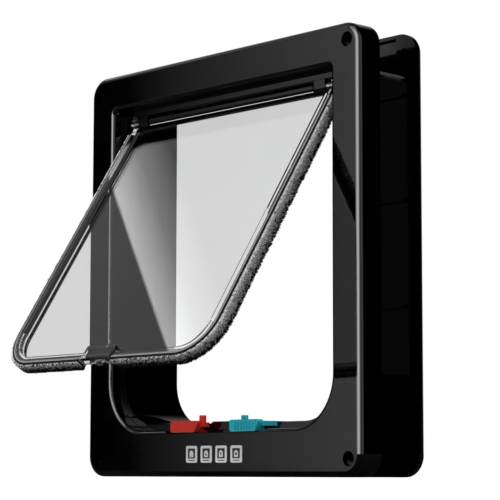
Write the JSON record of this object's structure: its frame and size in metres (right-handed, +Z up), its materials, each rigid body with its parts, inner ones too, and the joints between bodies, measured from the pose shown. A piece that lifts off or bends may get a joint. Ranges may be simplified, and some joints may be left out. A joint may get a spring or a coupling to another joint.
{
  "type": "cat flap",
  "caption": "Cat flap in glossy black with a deep front frame, a tunnel, a clear flap edged with brush pile, and a lock with two sliders.",
  "frame": {"origin": "centre of the four screw holes, on the plane where the front frame meets the door", "axes": "+X to the right of someone facing the front, +Y into the door, +Z up"},
  "size_m": [0.2374, 0.1392, 0.25],
  "materials": {
    "black_gloss": "high gloss injection moulded black",
    "clear_pane": "clear polished acrylic",
    "brush_pile": "dense fine grey pile",
    "black_strip": "matte woven strip",
    "polished_steel": "bright drawn steel",
    "zinc_screw": "zinc plated",
    "magnet_plate": "dark nickel plated",
    "red_slider": "glossy red plastic",
    "blue_slider": "glossy turquoise blue plastic",
    "label_film": "printed white film"
  },
  "bodies": {
    "front": {"front_frame": "black_gloss", "tunnel_sleeve": "black_gloss", "hinge_bearing_left": "black_gloss", "hinge_bearing_right": "black_gloss", "sleeve_screws": "zinc_screw", "sill_magnet": "magnet_plate", "sill_magnet_cover": "black_gloss", "lock_label_1": "label_film", "lock_label_2": "label_film", "lock_label_3": "label_film", "lock_label_4": "label_film"},
    "rear": {"rear_frame": "black_gloss"},
    "flap": {"flap_panel": "clear_pane", "brush_backing_left": "black_strip", "brush_left": "brush_pile", "brush_backing_right": "black_strip", "brush_right": "brush_pile", "flap_magnet": "magnet_plate", "magnet_cap": "clear_pane", "hinge_axle": "polished_steel", "hinge_tube": "black_gloss"},
    "red_lock": {"lock_slider_red": "red_slider"},
    "blue_lock": {"lock_slider_blue": "blue_slider"}
  },
  "joints": [
    {"name": "flap_hinge", "type": "hinge", "parent": "front", "child": "flap", "pos_m": [0, -0.0028, 0.0942], "axis": [1, 0, 0], "range_deg": [-47.4, 112.6]},
    {"name": "red_slide", "type": "slide", "parent": "front", "child": "red_lock", "axis": [1, 0, 0], "range_m": [0, 0.012]},
    {"name": "blue_slide", "type": "slide", "parent": "front", "child": "blue_lock", "axis": [1, 0, 0], "range_m": [-0.007, 0]},
    {"name": "rear_telescope", "type": "slide", "parent": "front", "child": "rear", "axis": [0, 1, 0], "range_m": [0, 0.02]}
  ]
}
